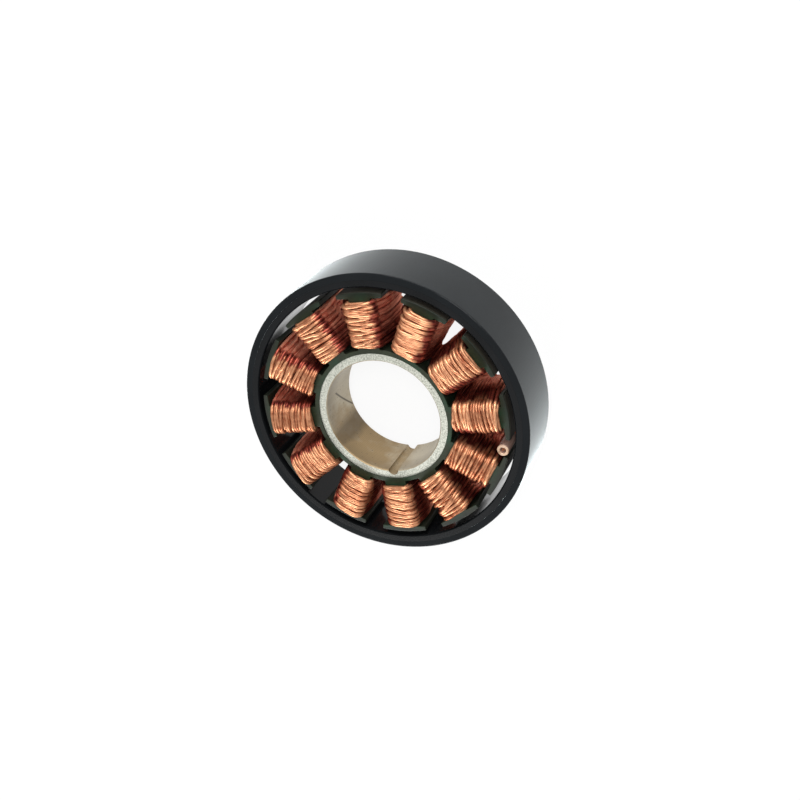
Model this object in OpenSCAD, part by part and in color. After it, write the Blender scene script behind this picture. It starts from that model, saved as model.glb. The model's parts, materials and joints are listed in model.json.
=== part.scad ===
// Frameless motor: a wound twelve-slot stator inside a ring rotor.
// Z is the motor's axis. The rotor's rear face lies on z = 0, and its front face looks along +Z.

/* [Rotor] */
// Outer diameter of the rotor ring
rotor_d = 60; // [56:0.5:70]
// Axial length of the rotor ring
rotor_len = 14; // [13.7:0.1:18]
// Radial thickness of the steel back-iron ring
yoke_wall = 1.4; // [1:0.1:2]
// Radial thickness of the magnet ring
magnet_t = 1.45; // [1:0.05:2]
// Chamfer on the outer edges of the rotor
rim_chamfer = 0.15; // [0.1:0.05:0.6]
// Chamfer on the inner edges of the magnet ring
magnet_chamfer = 0.2; // [0.1:0.05:0.5]

/* [Stator core] */
// Diameter of the bore
bore_d = 24; // [20:0.5:27]
// Radial thickness of the hub between the bore and the bottom of the slots
hub_wall = 2.3; // [2:0.1:3]
// Axial length of the stack of laminations
core_len = 11.3; // [8:0.1:11.6]
// Depth of the core's front face behind the rotor's front face
core_recess = 0.2; // [0.1:0.05:0.9]
// Width of a tooth
tooth_w = 4; // [3:0.1:5]
// Thickness of a tooth's tip on its centre line
tip_t = 1.1; // [0.8:0.05:1.6]
// Angle of the opening between two tips
slot_opening = 9.75; // [6:0.25:12]
// Width of the key groove in the bore
key_w = 2.2; // [1.4:0.1:2.6]
// Depth of the key groove past the bore
key_depth = 1; // [0.9:0.05:1.3]
// Chamfer on the edges of the bore
bore_chamfer = 0.2; // [0.1:0.05:0.4]

/* [Insulation] */
// Thickness of the epoxy coat
coat_t = 0.25; // [0.15:0.05:0.4]
// Width of the face that is left bare round the bore
bare_w = 1.65; // [1.4:0.05:1.9]

/* [Winding] */
// Distance from one turn of wire to the next
wire_pitch = 0.66; // [0.45:0.01:0.9]
// Thickness of the winding on a tooth, near the tip
winding_t = 1.65; // [1.3:0.05:1.8]
// Thickness of the winding near the hub
winding_hub_t = 1.45; // [1:0.05:1.5]
// Inner radius of a turn at the corners of a tooth
turn_bend_r = 0.25; // [0.2:0.05:0.5]
// Length over which a coil thins out towards the hub
end_round = 1.4; // [0.8:0.1:1.8]

/* [Wiring] */
// Diameter of the links between the coils of a phase
link_d = 0.45; // [0.35:0.05:0.5]
// Outer diameter of the sleeve on the star point
sleeve_d = 2.4; // [2:0.1:2.6]
// Inner diameter of that sleeve
sleeve_bore = 1.2; // [1.1:0.05:1.5]
// Length of that sleeve
sleeve_len = 6; // [4:0.5:9]
// Depth of the sleeve's front end behind the rotor's front face
sleeve_recess = 0.1; // [0:0.05:0.5]
// Depth of the wire ends inside the sleeve
splice_recess = 0.7; // [0.3:0.1:2]
// Diameter of each wire in the star point
star_wire_d = 0.48; // [0.35:0.01:0.5]

/* [Fits] */
// Running gap between the tips and the magnet ring
air_gap = 0.95; // [0.5:0.05:0.98]
// Glue line under the magnet ring and bond line under the coat
bond_gap = 0.02; // [0.01:0.01:0.05]
// Clearance between the winding and what it lies on
wire_clear = 0.05; // [0.03:0.01:0.1]
// Clearance between the coated hub and the first turn of a coil
hub_clear = 0.25; // [0.1:0.05:0.4]
// Clearance between the links and the coils
link_clear = 0.1; // [0.05:0.01:0.2]
// Clearance of the sleeve behind the running face of the tips
sleeve_clear = 0.1; // [0.05:0.05:0.3]
// Least clearance between two neighbouring coils
coil_clear = 0.4; // [0.2:0.05:0.8]

/* [Hidden] */
$fn = 96;

slot_count = 12;
slot_pitch = 360 / slot_count;
past = 1;

// Radii from the rim inwards
rim_r = rotor_d / 2;
yoke_in_r = rim_r - yoke_wall;
magnet_out_r = yoke_in_r - bond_gap;
magnet_in_r = magnet_out_r - magnet_t;
tip_r = magnet_in_r - air_gap;
tip_under_x = tip_r - tip_t;
tip_half_angle = (slot_pitch - slot_opening) / 2;

// Radii from the bore outwards
bore_r = bore_d / 2;
hub_r = bore_r + hub_wall;
bare_r = bore_r + bare_w;

// Heights
core_top = rotor_len - core_recess;
core_rear = core_top - core_len;
core_mid = (core_top + core_rear) / 2;
coat_rear = core_rear - coat_t;

// The coat ends this far inside the ground outer face of the tips
tip_land = 0.05;

// The winding of one tooth, along the tooth and round it
coil_x0 = hub_r + coat_t + hub_clear;
coil_x1 = tip_under_x - coat_t - wire_clear;
coil_len = coil_x1 - coil_x0;
turn_crowding = 1.08;
turn_end_cut = 0.8;
turn_r = wire_pitch * turn_crowding / 2;
turn_inset = turn_r * turn_end_cut;
turn_count = floor(coil_len / wire_pitch);
turn_step = (coil_len - 2 * turn_inset) / (turn_count - 1);
loop_x = tooth_w / 2 + coat_t + wire_clear;
loop_y = core_len / 2 + coat_t;
flat_x = loop_x - turn_bend_r;

// The links lie one below the other behind the hub
link_r = coil_x0 - link_d - link_clear;
link_span = 5 * slot_pitch;
link_neck = 0.9;

// The star point stands in the slot before the first tooth, beside the tip of the last one
sleeve_r = tip_r - sleeve_d / 2 - sleeve_clear;
sleeve_angle = -slot_pitch + tip_half_angle + asin((coat_t + wire_clear + sleeve_d / 2) / sleeve_r);
sleeve_top = rotor_len - sleeve_recess;
sleeve_edge = 0.15;
splice_top = sleeve_top - splice_recess;
splice_rear = coat_rear - link_d;
strand_gap = 0.002;

function coil_name(k) = str("coil_", k < 10 ? "0" : "", k);

// How much the winding sinks towards its inner end, at a distance from that end
function end_drop(d) = d < end_round ? end_round - sqrt(end_round ^ 2 - (end_round - d) ^ 2) : 0;

// Room beside the tooth up to the middle of the slot, less the clearance between two coils
function slot_room(x) = x * tan(slot_pitch / 2) - coil_clear / 2 / cos(slot_pitch / 2) - loop_x;

function turn_y(i) = turn_inset + i * turn_step;
function turn_depth(i) = winding_hub_t + (winding_t - winding_hub_t) * i / (turn_count - 1);
function turn_top(i) = min(turn_depth(i), slot_room(coil_x0 + turn_y(i))) - end_drop(turn_y(i) + turn_r);

// Tip of one tooth in the plane of a lamination, grown on its free edges
module tip_section(grow, outer_r) {
    under_x = tip_under_x - grow;
    edge = grow / cos(tip_half_angle);
    far_x = outer_r + past;
    under_y = under_x * tan(tip_half_angle) + edge;
    far_y = far_x * tan(tip_half_angle) + edge;
    intersection() {
        circle(outer_r);
        polygon([[under_x, -under_y], [far_x, -far_y], [far_x, far_y], [under_x, under_y]]);
    }
}

// Outline of a lamination without its bore, grown on its free edges
module toothed_section(grow, outer_r) {
    circle(hub_r + grow);
    for (k = [0 : slot_count - 1]) rotate(k * slot_pitch) {
        translate([0, -tooth_w / 2 - grow])
            square([tip_under_x + tip_t / 2, tooth_w + 2 * grow]);
        tip_section(grow, outer_r);
    }
}

// Ring with chamfered edges, from a radius to another
module chamfered_ring(in_r, out_r, len, in_chamfer, out_chamfer) {
    rotate_extrude()
        polygon([
            [in_r + in_chamfer, 0], [out_r - out_chamfer, 0], [out_r, out_chamfer],
            [out_r, len - out_chamfer], [out_r - out_chamfer, len], [in_r + in_chamfer, len],
            [in_r, len - in_chamfer], [in_r, in_chamfer]
        ]);
}

module rotor_yoke() {
    color([0.19, 0.20, 0.21])
        rotate_extrude()
            polygon([
                [yoke_in_r, 0], [rim_r - rim_chamfer, 0], [rim_r, rim_chamfer],
                [rim_r, rotor_len - rim_chamfer], [rim_r - rim_chamfer, rotor_len], [yoke_in_r, rotor_len]
            ]);
}

module magnet_ring() {
    color([0.09, 0.10, 0.11])
        rotate_extrude()
            polygon([
                [magnet_in_r + magnet_chamfer, 0], [magnet_out_r, 0], [magnet_out_r, rotor_len],
                [magnet_in_r + magnet_chamfer, rotor_len], [magnet_in_r, rotor_len - magnet_chamfer],
                [magnet_in_r, magnet_chamfer]
            ]);
}

// Round-bottomed key groove along the bore, in line with a tooth
module key_groove() {
    rotate(-90) {
        translate([bore_r + key_depth - key_w / 2, 0, core_rear - past])
            cylinder(d = key_w, h = core_len + 2 * past);
        translate([bore_r - past, -key_w / 2, core_rear - past])
            cube([past + key_depth - key_w / 2, key_w, core_len + 2 * past]);
    }
}

module stator_core() {
    wide_r = bore_r + bore_chamfer + past;
    color([0.75, 0.76, 0.73])
        difference() {
            translate([0, 0, core_rear]) linear_extrude(core_len) toothed_section(0, tip_r);
            translate([0, 0, core_rear - past]) cylinder(r = bore_r, h = core_len + 2 * past);
            translate([0, 0, core_top - bore_chamfer])
                cylinder(r1 = bore_r, r2 = wide_r, h = bore_chamfer + past);
            translate([0, 0, core_rear - past])
                cylinder(r1 = wide_r, r2 = bore_r, h = bore_chamfer + past);
            key_groove();
        }
}

module insulation_coat() {
    color([0.22, 0.33, 0.25])
        difference() {
            translate([0, 0, coat_rear])
                linear_extrude(core_len + 2 * coat_t) toothed_section(coat_t, tip_r - tip_land);
            translate([0, 0, core_rear - bond_gap])
                linear_extrude(core_len + 2 * bond_gap) toothed_section(bond_gap, tip_r);
            translate([0, 0, coat_rear - past])
                cylinder(r = bare_r, h = core_len + 2 * (coat_t + past));
        }
}

// Section through the turns of one coil: X is the height off the tooth, Y the place along it
module turns_section() {
    last = turn_count - 1;
    centres = [for (i = [0 : last]) [turn_top(i) - turn_r, turn_y(i)]];
    intersection() {
        square([winding_t + past, coil_len]);
        union() {
            polygon(concat(
                [[0, -past], [centres[0].x, -past]],
                centres,
                [[centres[last].x, coil_len + past], [0, coil_len + past]]
            ));
            for (centre = centres) translate(centre) circle(turn_r, $fn = 32);
        }
    }
}

// A straight run of the turns, from a point back along Y
module straight_turns(length) {
    rotate([90, 0, 0]) linear_extrude(length) turns_section();
}

// The turns as they bend round one corner of the tooth
module corner_turns() {
    rotate_extrude(angle = 90, $fn = 64) translate([turn_bend_r, 0]) turns_section();
}

// Coil on one tooth, wound round the coated tooth from the hub to the tip
module coil(k) {
    color([0.72, 0.43, 0.24])
        rotate((k - 1) * slot_pitch) translate([coil_x0, 0, core_mid]) rotate([90, 0, 90])
            for (half = [0, 180]) rotate(half) {
                translate([loop_x, loop_y, 0]) straight_turns(2 * loop_y);
                translate([flat_x, loop_y, 0]) corner_turns();
                translate([-flat_x, loop_y + turn_bend_r, 0]) rotate(90) straight_turns(2 * flat_x);
                translate([-flat_x, loop_y, 0]) rotate(90) corner_turns();
            }
}

// Link from the second coil of one pair of a phase to the first coil of its other pair
module phase_link(first_coil, level) {
    start = (first_coil - 1) * slot_pitch;
    z = coat_rear - wire_clear - link_d / 2 - level * (link_d + wire_clear);
    overrun = asin(link_d / 2 / link_r);
    color([0.66, 0.36, 0.20]) translate([0, 0, z]) rotate(start) {
        rotate(-overrun) rotate_extrude(angle = link_span + 2 * overrun)
            translate([link_r, 0]) circle(d = link_d, $fn = 24);
        for (side = [0, link_span]) rotate(side) translate([link_r, 0, 0]) rotate([0, 90, 0])
            cylinder(d = link_d * link_neck, h = coil_x0 - wire_clear - link_r, $fn = 24);
    }
}

module lead_sleeve() {
    color([0.83, 0.75, 0.66])
        rotate(sleeve_angle) translate([sleeve_r, 0, sleeve_top - sleeve_len])
            chamfered_ring(sleeve_bore / 2, sleeve_d / 2, sleeve_len, sleeve_edge, sleeve_edge);
}

// Three wire ends laid together, which run through the slot from the rear into the sleeve
module star_point_splice() {
    spread = (star_wire_d + strand_gap) / sqrt(3);
    color([0.66, 0.36, 0.20])
        rotate(sleeve_angle) translate([sleeve_r, 0, splice_rear])
            for (k = [0 : 2]) rotate(k * 120) translate([spread, 0, 0])
                cylinder(d = star_wire_d, h = splice_top - splice_rear, $fn = 24);
}

rotor_yoke();
magnet_ring();
stator_core();
insulation_coat();
for (k = [1 : slot_count]) coil(k);
phase_link(2, 0);  // phase_link_u
phase_link(4, 1);  // phase_link_v
phase_link(6, 2);  // phase_link_w
lead_sleeve();
star_point_splice();
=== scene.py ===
"""Looks of a frameless motor: a wound twelve-slot stator inside a black ring rotor.

Sizes in the classes are millimetres. Meshes are built in metres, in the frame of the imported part,
with the motor's axis on Z and the rotor's rear face on the floor.
"""

from __future__ import annotations

import json
import logging
import math
import random
from dataclasses import dataclass
from enum import Enum
from typing import Any, Iterable, Sequence

import bpy
from mathutils import Matrix, Vector

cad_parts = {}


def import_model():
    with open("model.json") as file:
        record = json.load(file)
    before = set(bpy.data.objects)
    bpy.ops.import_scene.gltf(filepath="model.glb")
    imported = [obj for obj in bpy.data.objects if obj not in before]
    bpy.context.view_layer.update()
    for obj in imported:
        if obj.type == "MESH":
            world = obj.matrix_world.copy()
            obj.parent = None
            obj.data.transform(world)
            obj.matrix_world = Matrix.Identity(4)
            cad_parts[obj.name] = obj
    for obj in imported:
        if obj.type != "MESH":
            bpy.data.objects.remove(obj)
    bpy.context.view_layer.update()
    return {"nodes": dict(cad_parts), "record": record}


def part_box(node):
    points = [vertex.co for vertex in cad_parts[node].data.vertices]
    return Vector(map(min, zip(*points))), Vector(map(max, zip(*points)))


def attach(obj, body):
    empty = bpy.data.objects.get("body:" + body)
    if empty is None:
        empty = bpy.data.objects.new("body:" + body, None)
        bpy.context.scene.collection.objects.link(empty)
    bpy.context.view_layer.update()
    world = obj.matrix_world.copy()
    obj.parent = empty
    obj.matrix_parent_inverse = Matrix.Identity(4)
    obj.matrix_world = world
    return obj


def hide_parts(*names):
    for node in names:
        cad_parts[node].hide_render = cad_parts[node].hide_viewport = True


LOG = logging.getLogger("frameless_motor")
MM = 0.001
RING_STEPS = 256
SLOT_COUNT = 12
SLOT_PITCH = 360 / SLOT_COUNT
SHARP_ANGLE = 35.0
MERGE_DISTANCE = 1e-7
# How far a cutter stands past what it cuts, and a limit past the edges that it takes in
CUT_PAST = 1.0
EDGE_PAST = 0.1

Point2 = tuple[float, float]
Point3 = tuple[float, float, float]
Colour = tuple[float, float, float, float]
# Low and high end of a range, and what these two become
Span = tuple[float, float, float, float]
# Inputs of the surface shader by name, each a value or an output socket
Looks = dict[str, Any]
# Where a coat of colour lies, its colour and, if the first is no mask yet, the span that makes it one
Coat = tuple[Any, ...]
Tree = bpy.types.NodeTree
Socket = bpy.types.NodeSocket
Material = bpy.types.Material
Piece = bpy.types.Object

WHITE: Colour = (1.0, 1.0, 1.0, 1.0)
# Numbers of a mix node's sockets, for colours and for plain values
MIX_A, MIX_B, MIX_RESULT = 6, 7, 2
VALUE_A, VALUE_B = 2, 3
# Length of one band of the wave texture at a scale of 1
WAVE_BAND = math.pi / 10
# Point attributes of the wire that its finish reads: its random tone, and its painted shade and painted light
# from below
TONE, SHADE_AND_UNDERLIGHT = "tone", "painted_shade_and_underlight"


class Body(Enum):
    """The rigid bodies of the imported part."""

    STATOR = "stator"
    ROTOR = "rotor"


class Slot(Enum):
    """The record's material slots."""

    ROTOR_COAT = "black_rotor_coat"
    MAGNET = "magnet_black"
    LAMINATIONS = "lamination_steel"
    EPOXY = "green_epoxy"
    COPPER = "enamelled_copper"
    SLEEVE = "sleeve_plastic"


# Shader helpers


def linear(hex_code: str) -> Colour:
    """Turns an sRGB hex colour into a linear one.

    Args:
        hex_code: Six hex digits after a hash sign.

    Returns:
        Red, green, blue and an alpha of 1, all linear.
    """
    parts = [int(hex_code[i : i + 2], 16) / 255 for i in (1, 3, 5)]
    red, green, blue = (c / 12.92 if c <= 0.04045 else ((c + 0.055) / 1.055) ** 2.4 for c in parts)
    return (red, green, blue, 1.0)


def per_metre(size_mm: float) -> float:
    """Gives the texture scale at which one feature is about size_mm wide."""
    return 1 / (size_mm * MM)


def add_node(
    tree: Tree, kind: str, inputs: dict[str | int, Any] | Sequence[Any] = (), **settings: Any
) -> bpy.types.NodeOutputs:
    """Adds one shader node with its settings and links.

    Args:
        tree: The node tree that takes the node.
        kind: The node's type name, without the prefix that all have.
        inputs: Values, or output sockets to link, by the input's name or number, or else in order.
        settings: Values by property name.

    Returns:
        The new node's output sockets.
    """
    node = tree.nodes.new("ShaderNode" + kind)
    for name, value in settings.items():
        setattr(node, name, value)
    for name, value in inputs.items() if isinstance(inputs, dict) else enumerate(inputs):
        if isinstance(value, Socket):
            tree.links.new(value, node.inputs[name])
        else:
            node.inputs[name].default_value = value
    return node.outputs


def painted(tree: Tree, ground: str | Socket, *coats: Coat) -> Socket:
    """Lays coats of colour over a ground, one after the other.

    Args:
        tree: The node tree.
        ground: The colour underneath, as a hex code or an output socket.
        coats: The coats, each colour in the same form.

    Returns:
        The colour of the whole.
    """
    colour = linear(ground) if isinstance(ground, str) else ground
    for mask, coat, *spans in coats:
        for span in spans:
            mask = add_node(tree, "MapRange", (mask, *span))[0]
        top = linear(coat) if isinstance(coat, str) else coat
        inputs = {0: mask, MIX_A: colour, MIX_B: top}
        colour = add_node(tree, "Mix", inputs, data_type="RGBA")[MIX_RESULT]
    return colour


def facing(tree: Tree) -> Socket:
    """Gives how far the surface faces up or down: 0 on an upright wall and 1 on a level face."""
    up = add_node(tree, "SeparateXYZ", (add_node(tree, "NewGeometry")["Normal"],))["Z"]
    return add_node(tree, "Math", (up,), operation="ABSOLUTE")[0]


def off_axis(tree: Tree, place: Socket) -> Socket:
    """Gives the distance of a place from the motor's axis, in metres."""
    level = add_node(tree, "Mapping", {"Vector": place, "Scale": (1.0, 1.0, 0.0)})["Vector"]
    return add_node(tree, "VectorMath", (level,), operation="LENGTH")["Value"]


def apart(tree: Tree, first: Socket, second: Socket | float) -> Socket:
    """Gives how far two values lie apart."""
    gap = add_node(tree, "Math", (first, second), operation="SUBTRACT")[0]
    return add_node(tree, "Math", (gap,), operation="ABSOLUTE")[0]


@dataclass(frozen=True)
class Finish:
    """A surface finish, made as one node material."""

    name: str

    def make(self) -> Material:
        """Makes the material and paints its nodes.

        Returns:
            The finished material.
        """
        material = bpy.data.materials.new(self.name)
        material.use_nodes = True
        tree = material.node_tree
        tree.nodes.clear()
        add_node(tree, "OutputMaterial", {"Surface": self.surface(tree)})
        return material

    def surface(self, tree: Tree) -> Socket:
        """Builds the shader from the looks of the finish."""
        place = add_node(tree, "TexCoord")["Object"]
        return add_node(tree, "BsdfPrincipled", self.looks(tree, place))["BSDF"]

    def looks(self, tree: Tree, place: Socket) -> Looks:
        """Builds the nodes of the finish; each kind of finish has its own.

        Args:
            tree: The node tree.
            place: Object coordinates.

        Returns:
            Values and output sockets by the names of the shader's inputs.
        """
        raise NotImplementedError


@dataclass(frozen=True)
class RotorCoat(Finish):
    """Black dip coat on turned steel: even, satin, with a faint orange peel."""

    deep: str = "#101214"
    pale: str = "#1a1d1f"
    haze: str = "#e6f2f4"
    cloud_mm: float = 9.0
    peel_mm: float = 0.35
    peel_depth: float = 0.02
    peel_strength: float = 0.03
    roughness: Span = (0.3, 0.7, 0.14, 0.2)

    def looks(self, tree: Tree, place: Socket) -> Looks:
        """Mixes two near blacks in soft clouds under a satin shine.

        Args:
            tree: The node tree.
            place: Object coordinates.

        Returns:
            The shader's inputs.
        """
        cloud, peel = (
            add_node(tree, "TexNoise", {"Vector": place, "Scale": per_metre(size), "Detail": detail})["Fac"]
            for size, detail in ((self.cloud_mm, 4.0), (self.peel_mm, 2.0))
        )
        bump = {"Height": peel, "Strength": self.peel_strength, "Distance": self.peel_depth * MM}
        return {
            "Base Color": painted(tree, self.deep, (cloud, self.pale)),
            "Roughness": add_node(tree, "MapRange", (peel, *self.roughness))[0],
            "IOR": 1.2,
            "Sheen Weight": 1.0,
            "Sheen Roughness": 0.25,
            "Sheen Tint": linear(self.haze),
            "Normal": add_node(tree, "Bump", bump)["Normal"],
        }


@dataclass(frozen=True)
class MagnetGloss(Finish):
    """Bonded ring magnet under black lacquer: glossy on the ground running wall, satin on its faces."""

    deep: str = "#0b0c0d"
    pale: str = "#131517"
    cloud_mm: float = 5.0
    roughness: Span = (0.1, 0.8, 0.13, 0.27)
    chamfer_tilt: float = 0.55
    shine: Span = (0.42, 0.445, 0.0, 0.5)

    def looks(self, tree: Tree, place: Socket) -> Looks:
        """Gives a near black whose gloss depends on the surface's direction and is lost on the chamfer.

        Args:
            tree: The node tree.
            place: Object coordinates.

        Returns:
            The shader's inputs.
        """
        noise = {"Vector": place, "Scale": per_metre(self.cloud_mm), "Detail": 3.0}
        cloud = add_node(tree, "TexNoise", noise)["Fac"]
        tilt = facing(tree)
        off_chamfer = apart(tree, tilt, self.chamfer_tilt)
        return {
            "Base Color": painted(tree, self.deep, (cloud, self.pale)),
            "Roughness": add_node(tree, "MapRange", (tilt, *self.roughness))[0],
            "Specular IOR Level": add_node(tree, "MapRange", (off_chamfer, *self.shine))[0],
            "IOR": 1.27,
        }


@dataclass(frozen=True)
class BareLaminations(Finish):
    """Bare electrical steel: a grainy grey cut face, and walls that show the sheets, streaks and a browner
    side.

    The sheets are drawn about half again as thick as real ones, because finer lines don't show.
    """

    face_dark: str = "#6f7468"
    face_pale: str = "#c4c5ba"
    wall_grey: str = "#c6beab"
    wall_dull: str = "#ac9f85"
    browner_side: str = "#947a50"
    soot: str = "#54452f"
    line: str = "#5f5646"
    pit: str = "#4c483f"
    scratch: str = "#3f3626"
    running_face: str = "#1f1e1b"
    face_tilt: Span = (0.75, 0.9, 0.0, 1.0)
    near_bore: Span = (18 * MM, 20 * MM, 1.0, 0.0)
    near_tips: Span = (18 * MM, 24 * MM, 0.0, 0.88)
    grain_mm: float = 0.22
    grain_depth: float = 0.03
    grain_strength: float = 0.25
    grain_step: Span = (0.32, 0.6, 0.0, 1.0)
    streak_mm: float = 0.5
    streak_squeeze: float = 0.07
    browner_side_mm: float = 3.5
    browner_side_towards: Point3 = (-0.643, -0.766, 0.0)
    browner_side_fray: float = 8.0
    browner_side_reach: Span = (7.6 * MM, 11.2 * MM, 0.0, 0.9)
    pit_mm: float = 1.1
    pit_edge: Span = (0.07, 0.16, 0.7, 0.0)
    sheet_mm: float = 0.5
    sheet_edge: Span = (0.0, 0.3, 0.4, 0.0)
    scratch_angle: float = 178.0
    scratch_height: float = 6.2
    scratch_slope: float = -0.252
    scratch_half_angle: float = 13.5
    scratch_edge: Span = (0.15 * MM, 0.45 * MM, 0.85, 0.0)
    soot_angle: float = 207.0
    soot_fray: float = 0.15
    soot_band: Span = (0.17, 0.33, 0.72, 0.0)
    rim_height: float = 13.0
    rim_soot: Span = (0.1 * MM, 4.5 * MM, 0.45, 0.0)

    def wall(self, tree: Tree, place: Socket) -> Socket:
        """Paints the walls: axial streaks, a browner tone on one side, the sheets' edges and a scratch.

        Args:
            tree: The node tree.
            place: Object coordinates.

        Returns:
            The walls' colour.
        """
        along = add_node(tree, "Mapping", {"Vector": place, "Scale": (1.0, 1.0, self.streak_squeeze)})[0]
        noise = {"Vector": along, "Scale": per_metre(self.streak_mm), "Detail": 4.0, "Roughness": 0.65}
        streak = add_node(tree, "TexNoise", noise)["Fac"]
        noise = {"Vector": place, "Scale": per_metre(self.browner_side_mm), "Detail": 5.0}
        cloud = add_node(tree, "TexNoise", noise)["Fac"]
        side = add_node(tree, "VectorMath", (place, self.browner_side_towards), operation="DOT_PRODUCT")["Value"]
        fray = self.browner_side_fray * MM
        spread = add_node(tree, "Math", (cloud, fray, -fray / 2), operation="MULTIPLY_ADD")[0]
        reach = add_node(tree, "Math", (side, spread), operation="ADD")[0]
        bands = {
            "Vector": place,
            "Scale": per_metre(self.sheet_mm) * WAVE_BAND,
            "Distortion": 0.6,
            "Detail": 2.0,
            "Detail Scale": 1.5,
        }
        band = add_node(tree, "TexWave", bands, bands_direction="Z")["Fac"]
        # Turned half round, so that the angle has no jump on the browner side
        opposite = add_node(tree, "Mapping", {"Vector": place, "Scale": (-1.0, -1.0, 1.0)})["Vector"]
        spot = add_node(tree, "SeparateXYZ", (opposite,))
        bearing = add_node(tree, "Math", (spot["Y"], spot["X"]), operation="ARCTAN2")[0]
        height = spot["Z"]
        return painted(
            tree,
            self.wall_dull,
            (streak, self.wall_grey),
            (reach, self.browner_side, self.browner_side_reach),
            (self.in_soot(tree, bearing, height, cloud), self.soot),
            (band, self.line, self.sheet_edge),
            (self.on_scratch(tree, bearing, height), self.scratch),
            (off_axis(tree, place), self.running_face, self.near_tips),
        )

    def in_soot(self, tree: Tree, bearing: Socket, height: Socket, cloud: Socket) -> Socket:
        """Gives how much soot lies on the wall: in one band along the axis, and more towards the rim.

        Args:
            tree: The node tree.
            bearing: The angle round the axis, from -X.
            height: The height on the wall.
            cloud: A soft noise that frays the band.

        Returns:
            The soot's mask.
        """
        reach = apart(tree, bearing, math.radians(self.soot_angle - 180))
        frayed = add_node(tree, "Math", (cloud, self.soot_fray, reach), operation="MULTIPLY_ADD")[0]
        band = add_node(tree, "MapRange", (frayed, *self.soot_band))[0]
        off_rim = apart(tree, height, self.rim_height * MM)
        line = add_node(tree, "MapRange", (off_rim, *self.rim_soot))[0]
        return add_node(tree, "Math", (band, line), operation="MAXIMUM")[0]

    def on_scratch(self, tree: Tree, bearing: Socket, height: Socket) -> Socket:
        """Finds one slanting scratch across the bore's wall.

        Args:
            tree: The node tree.
            bearing: The angle round the axis, from -X.
            height: The height on the wall.

        Returns:
            The scratch's mask.
        """
        middle = math.radians(self.scratch_angle - 180)
        off = add_node(tree, "Math", (bearing, middle), operation="SUBTRACT")[0]
        slope = math.degrees(self.scratch_slope * MM)
        path = add_node(tree, "Math", (off, slope, self.scratch_height * MM), operation="MULTIPLY_ADD")[0]
        line = add_node(tree, "MapRange", (apart(tree, height, path), *self.scratch_edge))[0]
        reach = add_node(tree, "Math", (off,), operation="ABSOLUTE")[0]
        end = math.radians(self.scratch_half_angle)
        within = add_node(tree, "Math", (reach, end), operation="LESS_THAN")[0]
        return add_node(tree, "Math", (line, within), operation="MULTIPLY")[0]

    def looks(self, tree: Tree, place: Socket) -> Looks:
        """Tells the faces round the bore from the walls and the tips' edges, paints each and pits all.

        Args:
            tree: The node tree.
            place: Object coordinates.

        Returns:
            The shader's inputs.
        """
        noise = {"Vector": place, "Scale": per_metre(self.grain_mm), "Detail": 3.0, "Roughness": 0.7}
        grain = add_node(tree, "TexNoise", noise)["Fac"]
        face = painted(tree, self.face_dark, (grain, self.face_pale, self.grain_step))
        level = add_node(tree, "MapRange", (facing(tree), *self.face_tilt))[0]
        near = add_node(tree, "MapRange", (off_axis(tree, place), *self.near_bore))[0]
        is_face = add_node(tree, "Math", (level, near), operation="MULTIPLY")[0]
        cell = add_node(tree, "TexVoronoi", {"Vector": place, "Scale": per_metre(self.pit_mm)})["Distance"]
        pits = (cell, self.pit, self.pit_edge)
        bump = {"Height": grain, "Strength": self.grain_strength, "Distance": self.grain_depth * MM}
        return {
            "Base Color": painted(tree, self.wall(tree, place), (is_face, face), pits),
            "Metallic": 0.5,
            "Roughness": 0.45,
            "Normal": add_node(tree, "Bump", bump)["Normal"],
        }


@dataclass(frozen=True)
class GreenEpoxy(Finish):
    """Electrostatic epoxy powder, baked on: dull dark green with a soft orange peel and thin spots."""

    deep: str = "#161b11"
    pale: str = "#2b3220"
    vivid: str = "#1a3625"
    slot_shade: str = "#12150f"
    cloud_mm: float = 4.0
    peel_mm: float = 0.5
    peel_depth: float = 0.05
    peel_strength: float = 0.35
    patch: Span = (0.5, 0.68, 0.0, 0.8)
    wall_tilt: Span = (0.2, 0.7, 0.75, 0.0)
    near_tips: Span = (24.6 * MM, 26 * MM, 0.0, 0.8)

    def looks(self, tree: Tree, place: Socket) -> Looks:
        """Mixes dull and vivid greens in clouds over a fine peel, with painted shade on the slot walls and on
        the tips.

        Args:
            tree: The node tree.
            place: Object coordinates.

        Returns:
            The shader's inputs.
        """
        cloud, peel = (
            add_node(tree, "TexNoise", {"Vector": place, "Scale": per_metre(size), "Detail": detail})["Fac"]
            for size, detail in ((self.cloud_mm, 5.0), (self.peel_mm, 3.0))
        )
        colour = painted(
            tree,
            self.deep,
            (peel, self.pale),
            (cloud, self.vivid, self.patch),
            # Painted shade on the upright slot walls, and on the tips next to the ring
            (facing(tree), self.slot_shade, self.wall_tilt),
            (off_axis(tree, place), self.slot_shade, self.near_tips),
        )
        bump = {"Height": peel, "Strength": self.peel_strength, "Distance": self.peel_depth * MM}
        normal = add_node(tree, "Bump", bump)["Normal"]
        return {"Base Color": colour, "IOR": 1.3, "Roughness": 0.48, "Normal": normal}


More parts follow.
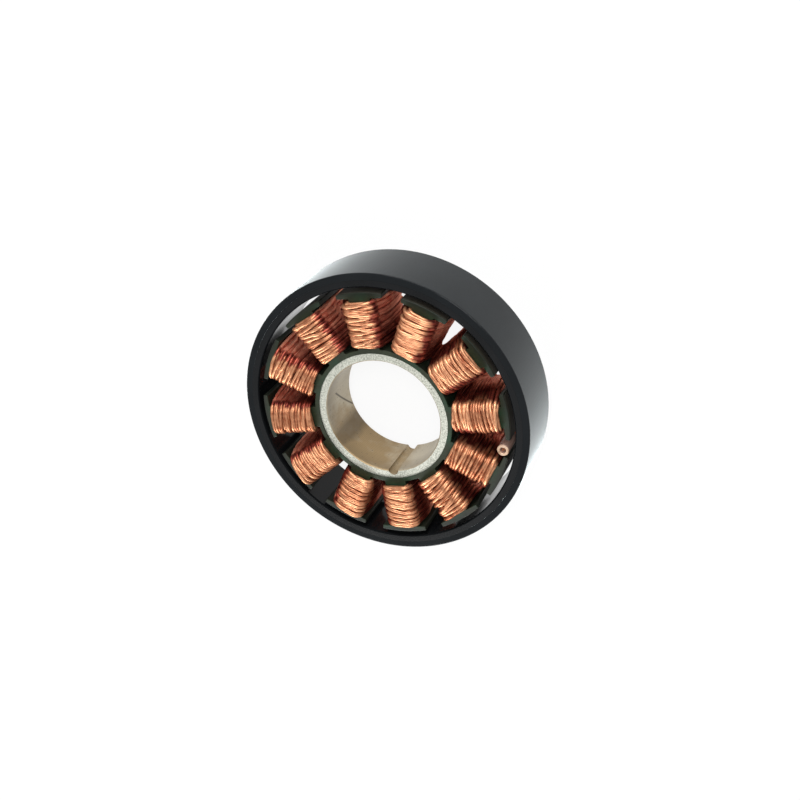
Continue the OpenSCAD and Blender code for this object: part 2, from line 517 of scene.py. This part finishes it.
@dataclass(frozen=True)
class CopperEnamel(Finish):
    """Copper wire under clear amber enamel: bright peach crowns, painted maroon shade in the slots, painted
    underlight deeper in.
    """

    dark: str = "#854a32"
    bright: str = "#dfa67e"
    shaded_dark: str = "#4a1a18"
    shaded_glint: str = "#b05a48"
    underlit_dark: str = "#c24a36"
    underlit_bright: str = "#ffb494"
    edge: str = "#e8b09a"
    cloud_mm: float = 1.2
    cloud_share: float = 1.4
    cloud_shift: float = -0.55
    tone_share: float = 0.65
    glint_contrast: float = 2.0
    metallic: Span = (0.0, 1.0, 0.85, 0.4)

    def looks(self, tree: Tree, place: Socket) -> Looks:
        """Varies the copper from strand to strand and a little along each, and paints shade and light from
        below by its place in the slot.

        Args:
            tree: The node tree.
            place: Object coordinates.

        Returns:
            The shader's inputs.
        """
        tone, shading = (add_node(tree, "Attribute", attribute_name=name)["Fac"] for name in (TONE, SHADE_AND_UNDERLIGHT))
        noise = {"Vector": place, "Scale": per_metre(self.cloud_mm), "Detail": 3.0}
        cloud = add_node(tree, "TexNoise", noise)["Fac"]
        values = (cloud, self.cloud_share, self.cloud_shift)
        shift = add_node(tree, "Math", values, operation="MULTIPLY_ADD")[0]
        values = (tone, self.tone_share, shift)
        mixed = add_node(tree, "Math", values, operation="MULTIPLY_ADD", use_clamp=True)[0]
        painted_glint = add_node(tree, "Math", (mixed, self.glint_contrast), operation="POWER")[0]
        underlit_share = add_node(tree, "Math", (shading, 1.0), operation="SUBTRACT", use_clamp=True)[0]
        crown = painted(tree, self.dark, (mixed, self.bright))
        # Painted shade on the slot flanks, with painted glints on the few brightest strands
        shaded = painted(tree, self.shaded_dark, (painted_glint, self.shaded_glint))
        # Painted light from below on the deeper, outer flanks, where the wire is also less metallic
        underlit = painted(tree, self.underlit_dark, (mixed, self.underlit_bright))
        return {
            "Base Color": painted(tree, crown, (shading, shaded), (underlit_share, underlit)),
            "Metallic": add_node(tree, "MapRange", (underlit_share, *self.metallic))[0],
            "Roughness": 0.43,
            "Specular Tint": linear(self.edge),
        }


@dataclass(frozen=True)
class SleevePlastic(Finish):
    """Varnished glass-fibre sleeving: waxy, with pale cut ends and a browned wall."""

    pale: str = "#c4a68c"
    brown: str = "#9c7858"
    varnish: str = "#94766c"
    cloud_mm: float = 0.9
    cloud_step: Span = (0.45, 0.75, 0.0, 1.0)
    wall_tilt: Span = (0.2, 0.5, 0.9, 0.0)

    def looks(self, tree: Tree, place: Socket) -> Looks:
        """Mixes cream and brown in small clouds, and varnishes the wall.

        Args:
            tree: The node tree.
            place: Object coordinates.

        Returns:
            The shader's inputs.
        """
        noise = {"Vector": place, "Scale": per_metre(self.cloud_mm), "Detail": 3.0}
        cloud = add_node(tree, "TexNoise", noise)["Fac"]
        clouds = (cloud, self.brown, self.cloud_step)
        colour = painted(tree, self.pale, clouds, (facing(tree), self.varnish, self.wall_tilt))
        return {"Base Color": colour, "IOR": 1.5, "Roughness": 0.4}


@dataclass(frozen=True)
class WhiteSweep(Finish):
    """White studio paper. What sees it directly or mirrored sees white with a soft shadow."""

    paper: str = "#f2f2f2"
    white_share: float = 0.9
    mirrored_share: float = 0.95

    def surface(self, tree: Tree) -> Socket:
        """Mixes lit paper with even white for camera, glossy and transmission rays.

        Args:
            tree: The node tree.

        Returns:
            The shader's output socket.
        """
        rays = add_node(tree, "LightPath")
        watched = (rays["Is Camera Ray"], rays["Is Transmission Ray"])
        seen = add_node(tree, "Math", watched, operation="MAXIMUM")[0]
        direct = add_node(tree, "Math", (seen, self.white_share), operation="MULTIPLY")[0]
        glossy = (rays["Is Glossy Ray"], self.mirrored_share)
        mirrored = add_node(tree, "Math", glossy, operation="MULTIPLY")[0]
        share = add_node(tree, "Math", (direct, mirrored), operation="MAXIMUM")[0]
        lit = add_node(tree, "BsdfDiffuse", {"Color": linear(self.paper)})[0]
        white = add_node(tree, "Emission", {"Color": WHITE, "Strength": 1.0})[0]
        return add_node(tree, "MixShader", (share, lit, white))[0]


# Modelling helpers


def unit(value: float) -> float:
    """Limits a value to the range from 0 to 1."""
    return min(max(value, 0.0), 1.0)


def deselect_all() -> None:
    """Leaves edit mode and selects nothing."""
    if bpy.context.object and bpy.context.object.mode != "OBJECT":
        bpy.ops.object.mode_set(mode="OBJECT")
    bpy.ops.object.select_all(action="DESELECT")


def make_active(piece: Piece) -> None:
    """Selects one piece alone and makes it active.

    Args:
        piece: The piece.
    """
    deselect_all()
    piece.select_set(True)
    bpy.context.view_layer.objects.active = piece


def edit_all() -> None:
    """Opens the active piece in edit mode with all of it selected."""
    bpy.ops.object.mode_set(mode="EDIT")
    bpy.ops.mesh.select_all(action="SELECT")


def outline_loop(name: str, places: Sequence[Vector], filled: bool) -> Piece:
    """Adds a circle with one vertex per point and moves each to its place.

    Args:
        name: The new piece's name.
        places: The points of the loop, in metres.
        filled: Whether the loop is filled with one face.

    Returns:
        The new piece.
    """
    deselect_all()
    bpy.ops.mesh.primitive_circle_add(
        vertices=len(places), radius=MM, fill_type="NGON" if filled else "NOTHING", location=(0, 0, 0)
    )
    piece = bpy.context.object
    piece.name = name
    piece.data.name = name
    for vertex, place in zip(piece.data.vertices, places):
        vertex.co = place
    return piece


def close_up(piece: Piece) -> None:
    """Merges doubles and turns all faces outwards.

    Args:
        piece: The piece.
    """
    make_active(piece)
    edit_all()
    bpy.ops.mesh.remove_doubles(threshold=MERGE_DISTANCE)
    bpy.ops.mesh.normals_make_consistent(inside=False)
    bpy.ops.object.mode_set(mode="OBJECT")


def turned(
    name: str, section: Sequence[Point2], centre: Point2 = (0, 0), steps: int = RING_STEPS
) -> Piece:
    """Turns a closed section round an axis along Z, as on a lathe.

    Args:
        name: The new piece's name.
        section: Radius and height of each point, in millimetres.
        centre: Where the axis stands, in millimetres.
        steps: Number of steps in the full turn.

    Returns:
        The turned piece.
    """
    x, y = centre
    places = [Vector((x + radius, y, height)) * MM for radius, height in section]
    piece = outline_loop(name, places, filled=False)
    edit_all()
    bpy.ops.mesh.spin(steps=steps, angle=math.tau, center=(x * MM, y * MM, 0), axis=(0, 0, 1))
    close_up(piece)
    return piece


def ring_section(
    inner: float, outer: float, low: float, high: float, inside: float = 0.0, outside: float = 0.0
) -> list[Point2]:
    """Gives the section of a ring with chamfered edges.

    Args:
        inner: Radius of its inner wall, in millimetres.
        outer: Radius of its outer wall.
        low: Height of its bottom.
        high: Height of its top.
        inside: Width of the chamfers on the inner wall.
        outside: Width of the chamfers on the outer wall.

    Returns:
        Radius and height of each point.
    """
    rising = [(inner, low + inside), (inner + inside, low), (outer - outside, low), (outer, low + outside)]
    falling = [(radius, high - (height - low)) for radius, height in reversed(rising)]
    return list(dict.fromkeys(rising + falling))


def prism(name: str, outline: Sequence[Point2], low: float, high: float) -> Piece:
    """Raises a flat outline into a prism along Z.

    Args:
        name: The new piece's name.
        outline: The outline's points, in millimetres.
        low: Height of the prism's bottom, in millimetres.
        high: Height of its top, in millimetres.

    Returns:
        The prism.
    """
    piece = outline_loop(name, [Vector((x, y, low)) * MM for x, y in outline], filled=True)
    edit_all()
    bpy.ops.mesh.extrude_region_move(TRANSFORM_OT_translate={"value": (0, 0, (high - low) * MM)})
    close_up(piece)
    return piece


def ease_edges(
    piece: Piece, width: float, segments: int = 3, beyond: float = 0.0, within: float = math.inf
) -> None:
    """Rounds the sharp edges of a piece by a bevel.

    Args:
        piece: The piece.
        width: Width of the bevel, in millimetres.
        segments: Number of steps across the bevel.
        beyond: Edges nearer to the motor's axis than this stay sharp, in millimetres.
        within: Edges further from the axis than this stay sharp.
    """
    make_active(piece)
    weights = piece.data.attributes.new("bevel_weight_edge", "FLOAT", "EDGE")
    places = [vertex.co.xy.length / MM for vertex in piece.data.vertices]
    for edge, weight in zip(piece.data.edges, weights.data):
        weight.value = float(all(beyond <= places[i] <= within for i in edge.vertices))
    soft = piece.modifiers.new("eased_edges", "BEVEL")
    soft.width = width * MM
    soft.segments = segments
    soft.limit_method = "ANGLE" if within == math.inf and beyond == 0 else "WEIGHT"
    soft.angle_limit = math.radians(SHARP_ANGLE)
    soft.miter_outer = "MITER_ARC"
    bpy.ops.object.modifier_apply(modifier=soft.name)


def cut(piece: Piece, cutters: Iterable[Piece]) -> None:
    """Cuts each cutter out of a piece and deletes the cutters.

    Args:
        piece: The piece.
        cutters: What is cut out of it.
    """
    for cutter in cutters:
        make_active(piece)
        boolean = piece.modifiers.new("cut", "BOOLEAN")
        boolean.operation = "DIFFERENCE"
        boolean.solver = "EXACT"
        boolean.object = cutter
        bpy.ops.object.modifier_apply(modifier=boolean.name)
        bpy.data.objects.remove(cutter)


def dress(
    piece: Piece,
    material: Material,
    body: Body,
    nodes: Sequence[str],
    smooth_angle: float = SHARP_ANGLE,
    flat_faces: bool = True,
) -> None:
    """Shades a finished piece, gives it its material and sets it in the frame.

    Args:
        piece: The piece.
        material: Its finish.
        body: The body that it rides on.
        nodes: The CAD nodes that it stands for.
        smooth_angle: Edges sharper than this many degrees stay sharp.
        flat_faces: Whether large faces keep their own normals beside eased edges.
    """
    make_active(piece)
    bpy.ops.object.shade_smooth_by_angle(angle=math.radians(smooth_angle))
    if flat_faces:
        weighted = piece.modifiers.new("flat_faces", "WEIGHTED_NORMAL")
        weighted.keep_sharp = True
        bpy.ops.object.modifier_apply(modifier=weighted.name)
    piece.data.materials.clear()
    piece.data.materials.append(material)
    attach(piece, body.value)
    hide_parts(*nodes)
    LOG.info("%s: %d faces, rides on %s", piece.name, len(piece.data.polygons), body.value)


# Sub-assemblies


@dataclass
class Rotor:
    """The steel back-iron ring and the magnet ring that lines it."""

    wall: float = 1.4
    glue: float = 0.02
    magnet_wall: float = 1.45
    rim_chamfer: float = 0.15
    magnet_chamfer: float = 0.2
    rim_radius: float = 0.1
    rim_segments: int = 2

    def build(self, coat: Material, gloss: Material) -> None:
        """Turns both rings and dresses them.

        Args:
            coat: Finish of the back-iron ring.
            gloss: Finish of the magnet ring.
        """
        low, high = (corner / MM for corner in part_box("rotor_yoke"))
        rim, bottom, top = high.x, low.z, high.z
        yoke_in = rim - self.wall
        yoke = turned("back_iron_ring", ring_section(yoke_in, rim, bottom, top, outside=self.rim_chamfer))
        ease_edges(yoke, self.rim_radius, self.rim_segments, beyond=rim - self.rim_chamfer - EDGE_PAST)
        dress(yoke, coat, Body.ROTOR, ["rotor_yoke"])
        outer = yoke_in - self.glue
        inner = outer - self.magnet_wall
        lip = self.magnet_chamfer
        magnet = turned("magnet_lining", ring_section(inner, outer, bottom, top, inside=lip))
        ease_edges(magnet, self.rim_radius, self.rim_segments, within=inner + lip + EDGE_PAST)
        dress(magnet, gloss, Body.ROTOR, ["magnet_ring"])


@dataclass
class StatorCore:
    """The toothed stack of laminations and the epoxy coat on it."""

    record: dict[str, Any]
    hub_wall: float = 2.3
    tooth_width: float = 4.0
    tip_depth: float = 1.1
    slot_opening: float = 9.75
    bare_width: float = 1.65
    bond: float = 0.02
    key_width: float = 2.2
    key_depth: float = 1.0
    key_steps: int = 24
    bore_chamfer: float = 0.2
    coat_edge_radius: float = 0.14
    tip_arc_points: int = 13
    hub_arc_points: int = 7

    def __post_init__(self) -> None:
        """Reads the sizes that the frame gives."""
        low, high = (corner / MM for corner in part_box("stator_core"))
        coat_low, coat_high = (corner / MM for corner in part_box("insulation_coat"))
        self.tip_radius = high.x
        self.coat_tip_radius = coat_high.x
        self.low, self.high = low.z, high.z
        self.coat_low, self.coat_high = coat_low.z, coat_high.z
        self.coat = coat_high.z - high.z
        mounts = {mount["name"]: mount for mount in self.record["mounts"]}
        self.bore_radius = mounts["stator_bore"]["dims"]["r_mm"]
        self.hub_radius = self.bore_radius + self.hub_wall

    def outline(self, grow: float, outer: float) -> list[Point2]:
        """Gives the outline of a lamination without its bore.

        Args:
            grow: How far every free edge is moved outwards, in millimetres.
            outer: Radius of the tips' running face.

        Returns:
            The points of the closed outline, counter-clockwise.
        """
        half = self.tooth_width / 2 + grow
        hub = self.hub_radius + grow
        under = self.tip_radius - self.tip_depth - grow
        spread = math.radians((SLOT_PITCH - self.slot_opening) / 2)
        under_half = under * math.tan(spread) + grow / math.cos(spread)
        tip_end = spread + math.asin(grow / outer)
        root_angle = math.asin(half / hub)
        root = hub * math.cos(root_angle)
        tooth: list[Point2] = [(root, -half), (under, -half), (under, -under_half)]
        for i in range(self.tip_arc_points):
            angle = tip_end * (2 * i / (self.tip_arc_points - 1) - 1)
            tooth.append((outer * math.cos(angle), outer * math.sin(angle)))
        tooth += [(under, under_half), (under, half), (root, half)]
        hub_sweep = math.radians(SLOT_PITCH) - 2 * root_angle
        for i in range(1, self.hub_arc_points):
            angle = root_angle + hub_sweep * i / self.hub_arc_points
            tooth.append((hub * math.cos(angle), hub * math.sin(angle)))
        points: list[Point2] = []
        for k in range(SLOT_COUNT):
            turn = Matrix.Rotation(math.radians(k * SLOT_PITCH), 2)
            points += [tuple(turn @ Vector(point)) for point in tooth]
        return points

    def drill(self, name: str, radius: float, flare: float = 0.0) -> Piece:
        """Makes a round cutter through the stack.

        Args:
            name: The cutter's name.
            radius: Its radius, in millimetres.
            flare: Width of the chamfer that it cuts at both ends, if any.

        Returns:
            The cutter.
        """
        mouth = radius + flare + CUT_PAST if flare else radius
        section = [
            (0.0, self.low - CUT_PAST),
            (mouth, self.low - CUT_PAST),
            (radius, self.low + flare),
            (radius, self.high - flare),
            (mouth, self.high + CUT_PAST),
            (0.0, self.high + CUT_PAST),
        ]
        return turned(name, section)

    def key_cutter(self) -> Piece:
        """Makes the cutter of the round-bottomed key groove, on -Y.

        Returns:
            The cutter.
        """
        half = self.key_width / 2
        bottom = self.bore_radius + self.key_depth - half
        mouth = -self.bore_radius + CUT_PAST
        outline = [(-half, mouth)]
        for i in range(self.key_steps + 1):
            angle = math.pi + math.pi * i / self.key_steps
            outline.append((half * math.cos(angle), -bottom + half * math.sin(angle)))
        outline.append((half, mouth))
        return prism("key_cutter", outline, self.low - CUT_PAST, self.high + CUT_PAST)

    def build(self, steel: Material, epoxy: Material) -> None:
        """Models the stack and the coat and dresses them.

        Args:
            steel: Finish of the bare laminations.
            epoxy: Finish of the coat.
        """
        stack = prism("lamination_stack", self.outline(0.0, self.tip_radius), self.low, self.high)
        cut(stack, [self.drill("bore_cutter", self.bore_radius, self.bore_chamfer), self.key_cutter()])
        dress(stack, steel, Body.STATOR, ["stator_core"])
        outline = self.outline(self.coat, self.coat_tip_radius)
        coat = prism("epoxy_coat", outline, self.coat_low, self.coat_high)
        ease_edges(coat, self.coat_edge_radius)
        outline = self.outline(self.bond, self.tip_radius)
        filler = prism("filler", outline, self.low - self.bond, self.high + self.bond)
        cut(coat, [filler, self.drill("mask_cutter", self.bore_radius + self.bare_width)])
        dress(coat, epoxy, Body.STATOR, ["insulation_coat"])


@dataclass(frozen=True)
class Layer:
    """One layer of a coil: its height off the coat, how round its corners are and how loosely it lies."""

    height: float
    corner_wide: float
    corner_high: float
    loose: float


@dataclass
class Winding:
    """The twelve coils: one wire on each tooth in three layers, the top one laid loosely by hand."""

    core: StatorCore
    wire_radius: float = 0.36
    wire_resolution: int = 2
    smooth_angle: float = 60.0
    turn_pitch: float = 0.7
    clearance: float = 0.05
    hub_thickness: float = 1.45
    end_round: float = 0.9
    full_side: float = 0.6
    lean: float = 0.55
    flank_bow: float = 0.35
    sway: float = 0.3
    slant: float = 0.8
    sag: float = 0.2
    flat_points: int = 2
    corner_points: int = 9
    flank_points: int = 4
    holds_per_turn: int = 4
    tip_spread: float = 0.7
    full_spread: float = 1.9
    full_coils: tuple[int, ...] = (1, 2, 3, 4)
    rear_spread: float = 0.6
    # Height of the crowns' edge: below it the wire is painted in shade, along a ragged line
    bright_above: float = 6.2
    dark_below: float = 5.9
    ragged: float = 1.3
    # Where painted light from below lies on the flanks: under this height, past this share of the tooth
    underlit_below: float = 4.4
    underlit_fade: float = 2.0
    underlit_beyond: float = 0.2
    seed: int = 700

    def __post_init__(self) -> None:
        """Reads the first coil's place, which lies along X, from the frame and plans the layers."""
        low, high = (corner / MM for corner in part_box("coil_01"))
        self.start, self.end = low.x, high.x
        self.half_width = high.y
        self.middle = (low.z + high.z) / 2
        self.half_height = (high.z - low.z) / 2
        self.inner_half = self.core.tooth_width / 2 + self.core.coat + self.clearance
        self.thickness = self.half_width - self.inner_half
        bottom = self.wire_radius
        top = self.thickness - self.wire_radius
        self.layers = (
            Layer(height=bottom, corner_wide=1.0, corner_high=1.0, loose=0.2),
            Layer(height=(bottom + top) / 2, corner_wide=2.3, corner_high=1.8, loose=0.5),
            Layer(height=top, corner_wide=3.0, corner_high=2.2, loose=1.0),
        )

    def loop(self, layer: Layer, height: float, bow: float) -> list[Point2]:
        """Gives one turn round the coated tooth, from the middle of the rear end round by the front.

        Args:
            layer: The layer that the turn belongs to.
            height: Height of the wire's middle off the coat, in millimetres.
            bow: How far the top layer's long sides bulge.

        Returns:
            Tangential and axial place of each point of the turn.
        """
        bow = bow * height / self.thickness
        half_y = self.inner_half + height - self.flank_bow * height / self.thickness
        half_z = self.half_height - self.thickness + height
        tall = half_z - layer.corner_high
        halves: list[list[Point2]] = []
        for corner in (layer.corner_wide * self.full_side, layer.corner_wide):
            flat = half_y - corner
            quarter: list[Point2] = [(flat * i / self.flat_points, half_z) for i in range(self.flat_points)]
            for i in range(self.corner_points + 1):
                angle = math.pi / 2 * (1 - i / self.corner_points)
                quarter.append((flat + corner * math.cos(angle), tall + layer.corner_high * math.sin(angle)))
            for i in range(1, self.flank_points + 1):
                share = 1 - i / self.flank_points
                quarter.append((half_y + bow * (1 - share * share), tall * share))
            halves.append([(y, -z) for y, z in quarter] + quarter[-2::-1])
        return halves[0][:-1] + [(-y, z) for y, z in halves[1][:0:-1]]

    def drop(self, place: float) -> float:
        """Gives how far the wire sinks where a coil thins out near the hub."""
        short = min(max(0.0, self.end_round - (place - self.start)), self.end_round)
        return self.end_round - math.sqrt(self.end_round**2 - short**2)

    def lay(
        self, rng: random.Random, layer: Layer, outwards: bool, spread: float
    ) -> tuple[list[Vector], list[float]]:
        """Lays one layer of turns along the tooth.

        Args:
            rng: The coil's own random numbers.
            layer: The layer.
            outwards: Whether the turns go from the hub to the tip or back.
            spread: How far the long sides bulge more at the tip than at the hub, in millimetres.

        Returns:
            The wire's points along the tooth's own axes, and a tone for each point.
        """
        first = self.start + self.wire_radius
        last = self.end - self.wire_radius
        turns = round((last - first) / self.turn_pitch)
        step = (last - first) / turns
        holds = self.holds_per_turn
        spots = turns * holds + 2
        sway = [rng.gauss(0, self.sway) * layer.loose for _ in range(spots)]
        rise = [rng.uniform(-self.sag, 0) * layer.loose for _ in range(spots)]
        tones = [rng.uniform(0.0, 1.0) for _ in range(turns + 1)]
        slant = rng.uniform(-self.slant, self.slant) * layer.loose
        points: list[Vector] = []
        shades: list[float] = []
        for turn in range(turns):
            place = first + step * (turn + 0.5)
            outer = (place - self.start) / (self.end - self.start)
            thin = (1 - self.hub_thickness / self.thickness) * (1 - outer) * layer.height
            height = max(layer.height - thin - self.drop(place - self.wire_radius), self.layers[0].height)
            around = self.loop(layer, height, self.flank_bow + spread * outer)
            for i, (y, z) in enumerate(around):
                share = i / len(around)
                spot = (turn + share) * holds + 0.5
                k = int(spot)
                ease = (1 - math.cos(math.pi * (spot - k))) / 2
                along = first + step * (turn + share) + sway[k] * (1 - ease) + sway[k + 1] * ease
                inside = math.sin(math.pi * unit((along - first) / (last - first)))
                along += slant * inside * y / self.half_width * math.copysign(1.0, z)
                along = min(max(along, first), last)
                up = rise[k] * (1 - ease) + rise[k + 1] * ease
                rear = max(-z / self.half_height, 0.0)
                full = max(y / self.half_width, 0.0) * max(z / self.half_height, 0.0)
                wide = 1 + (up + self.rear_spread * rear) / self.half_width
                place_y = y * wide + self.lean * outer * full
                points.append(Vector((along, place_y, self.middle + z * (1 + up / self.half_height))))
                shades.append(tones[turn] * (1 - share) + tones[turn + 1] * share)
        if not outwards:
            points = [Vector((first + last - p.x, p.y, p.z)) for p in points]
        return points, shades

    def coil(self, number: int, copper: Material) -> None:
        """Winds one coil and dresses it.

        Args:
            number: The coil's number, from 1.
            copper: Finish of the wire.
        """
        rng = random.Random(self.seed + number)
        path: list[Vector] = []
        tones: list[float] = []
        spread = self.full_spread if number in self.full_coils else self.tip_spread
        for k, layer in enumerate(self.layers):
            points, shades = self.lay(rng, layer, k % 2 == 0, spread)
            path += points
            tones += shades
        turn = Matrix.Rotation(math.radians((number - 1) * SLOT_PITCH), 3, "Z")
        name = f"wound_coil_{number:02d}"
        curve = bpy.data.curves.new(name, "CURVE")
        curve.dimensions = "3D"
        curve.bevel_depth = self.wire_radius * MM
        curve.bevel_resolution = self.wire_resolution
        curve.use_fill_caps = True
        spline = curve.splines.new("POLY")
        spline.points.add(len(path) - 1)
        for spot, place in zip(spline.points, path):
            spot.co = (*(turn @ place * MM), 1.0)
        piece = bpy.data.objects.new(name, curve)
        bpy.context.collection.objects.link(piece)
        make_active(piece)
        bpy.ops.object.convert(target="MESH")
        piece = bpy.context.object
        self.shade_turns(piece, path, tones)
        nodes = [f"coil_{number:02d}"]
        dress(piece, copper, Body.STATOR, nodes, self.smooth_angle, flat_faces=False)

    def shade_turns(self, piece: Piece, path: list[Vector], tones: list[float]) -> None:
        """Stores each turn's tone, and the painted shade and underlight that its place in the slot gets, on
        the points of the tube.

        Args:
            piece: The wire as a mesh, one ring of points after the other along its path.
            path: The points of the path, along the tooth's own axes.
            tones: A tone for each of them.
        """
        ring = len(piece.data.vertices) // len(path)
        spare = len(piece.data.vertices) - ring * len(path)
        painted_shades: list[float] = []
        for point, tone in zip(path, tones):
            height = point.z - self.middle
            # Painted shade from the crown's ragged edge down the flanks
            edge = self.bright_above + self.ragged * (tone - 0.5)
            share = unit((edge - abs(height)) / (self.bright_above - self.dark_below))
            # Painted light from below, growing towards the tip and the rear
            outer = (point.x - self.start) / (self.end - self.start) - self.underlit_beyond
            outer = max(outer / (1 - self.underlit_beyond), 0.0)
            lower = unit((self.underlit_below - height) / self.underlit_fade)
            painted_shades.append(share * share * (3 - 2 * share) + outer * lower)
        for name, values in ((TONE, tones), (SHADE_AND_UNDERLIGHT, painted_shades)):
            spread = [value for value in values for _ in range(ring)] + [values[-1]] * spare
            attribute = piece.data.attributes.new(name, "FLOAT", "POINT")
            attribute.data.foreach_set("value", spread)

    def build(self, copper: Material) -> None:
        """Winds all the coils."""
        for number in range(1, SLOT_COUNT + 1):
            self.coil(number, copper)


@dataclass
class Wiring:
    """The sleeve on the star point; the bare wires keep their CAD form."""

    nodes: dict[str, Piece]
    bore: float = 1.2
    lip: float = 0.15
    lip_segments: int = 2
    sleeve_steps: int = 48
    bare_wires: tuple[str, ...] = ("phase_link_u", "phase_link_v", "phase_link_w", "star_point_splice")

    def build(self, plastic: Material, copper: Material) -> None:
        """Models the sleeve and paints the wires.

        Args:
            plastic: Finish of the sleeve.
            copper: Finish of the wires.
        """
        low, high = (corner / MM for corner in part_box("lead_sleeve"))
        outer = (high.x - low.x) / 2
        centre = ((low.x + high.x) / 2, (low.y + high.y) / 2)
        section = ring_section(self.bore / 2, outer, low.z, high.z, self.lip, self.lip)
        sleeve = turned("star_point_sleeve", section, centre, self.sleeve_steps)
        ease_edges(sleeve, self.lip / 2, self.lip_segments)
        dress(sleeve, plastic, Body.STATOR, ["lead_sleeve"])
        for name in self.bare_wires:
            node = self.nodes[name]
            node.data.materials.clear()
            node.data.materials.append(copper)
            LOG.info("%s: %d faces, keeps its CAD form", name, len(node.data.polygons))


@dataclass(frozen=True)
class Softbox:
    """One square soft light: its place and width in metres, and its power in watts."""

    name: str
    place: Point3
    width: float
    power: float

    def hang(self) -> None:
        """Adds the light and turns it to the motor."""
        data = bpy.data.lights.new(self.name, "AREA")
        data.size = self.width
        data.energy = self.power
        lamp = bpy.data.objects.new(self.name, data)
        bpy.context.collection.objects.link(lamp)
        lamp.location = self.place
        lamp.rotation_mode = "QUATERNION"
        lamp.rotation_quaternion = Vector(self.place).to_track_quat("Z", "Y")


@dataclass
class Studio:
    """The camera at the photograph's view, the white sweep and the soft lights."""

    rim_radius: float = 30.0
    eye: Point3 = (3.161, 3.093, 6.221)
    right: Point3 = (0.9163, -0.1725, -0.3614)
    up: Point3 = (0.0, 0.9024, -0.4308)
    focal_px: float = 1162.0
    image_px: float = 800.0
    sensor: float = 36.0
    clip_m: Point2 = (0.01, 20.0)
    edge_height: float = 13.85
    floor_m: float = 6.0
    floor_gap: float = 0.02
    sky: Span = (0.35, 0.75, 1.0, 0.65)
    ambient: float = 0.35
    softboxes: tuple[Softbox, ...] = (
        Softbox("key_softbox", (-0.24, -0.51, 0.27), 0.3, 4.2),
        Softbox("back_softbox", (0.05, 0.6, 0.18), 0.3, 4.0),
        Softbox("front_softbox", (0.25, 0.33, 0.62), 0.25, 3.4),
    )

    def camera(self) -> None:
        """Sets the camera by the view fitted to the rim's and the bore's edges."""
        data = bpy.data.cameras.new("photo_camera")
        data.sensor_width = self.sensor
        data.lens = self.sensor * self.focal_px / self.image_px
        data.clip_start, data.clip_end = self.clip_m
        camera = bpy.data.objects.new("photo_camera", data)
        bpy.context.collection.objects.link(camera)
        right = Vector(self.right).normalized()
        back = right.cross(Vector(self.up)).normalized()
        up = back.cross(right)
        turn = Matrix((right, up, back)).transposed().to_4x4()
        eye = Vector(self.eye) * self.rim_radius + Vector((0, 0, self.edge_height))
        camera.matrix_world = Matrix.Translation(eye * MM) @ turn
        bpy.context.scene.camera = camera

    def floor(self, sweep: Material) -> None:
        """Lays the white floor under the rotor's rear face.

        Args:
            sweep: Finish of the floor.
        """
        deselect_all()
        bpy.ops.mesh.primitive_plane_add(size=self.floor_m, location=(0, 0, -self.floor_gap * MM))
        floor = bpy.context.object
        floor.name = "studio_floor"
        floor.data.materials.append(sweep)

    def world(self) -> None:
        """Makes the surroundings white to see and moderate as a light."""
        world = bpy.data.worlds.new("studio_world")
        bpy.context.scene.world = world
        world.use_nodes = True
        tree = world.node_tree
        tree.nodes.clear()
        rays = add_node(tree, "LightPath")
        shown = rays["Is Camera Ray"]
        for ray in ("Is Glossy Ray", "Is Transmission Ray"):
            shown = add_node(tree, "Math", (shown, rays[ray]), operation="MAXIMUM")[0]
        towards = add_node(tree, "TexCoord")["Generated"]
        height = add_node(tree, "SeparateXYZ", (towards,))["Z"]
        sky = add_node(tree, "MapRange", (height, *self.sky))[0]
        strength = add_node(tree, "Mix", {0: shown, VALUE_A: self.ambient, VALUE_B: sky}, data_type="FLOAT")
        light = add_node(tree, "Background", {"Color": WHITE, "Strength": strength[0]})
        add_node(tree, "OutputWorld", {"Surface": light[0]})

    def build(self, sweep: Material) -> None:
        """Sets the stage.

        Args:
            sweep: Finish of the floor.
        """
        self.camera()
        self.floor(sweep)
        self.world()
        for softbox in self.softboxes:
            softbox.hang()
        bpy.context.scene.view_settings.view_transform = "Standard"


def main() -> None:
    logging.basicConfig(level=logging.INFO, format="%(message)s")
    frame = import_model()
    copper = CopperEnamel("enamelled_copper_wire").make()
    Studio().build(WhiteSweep("white_paper_sweep").make())
    Rotor().build(RotorCoat("black_dip_coat").make(), MagnetGloss("lacquered_magnet").make())
    core = StatorCore(frame["record"])
    core.build(BareLaminations("bare_lamination_steel").make(), GreenEpoxy("baked_green_epoxy").make())
    Winding(core).build(copper)
    Wiring(frame["nodes"]).build(SleevePlastic("varnished_sleeving").make(), copper)


if __name__ == "__main__":
    main()
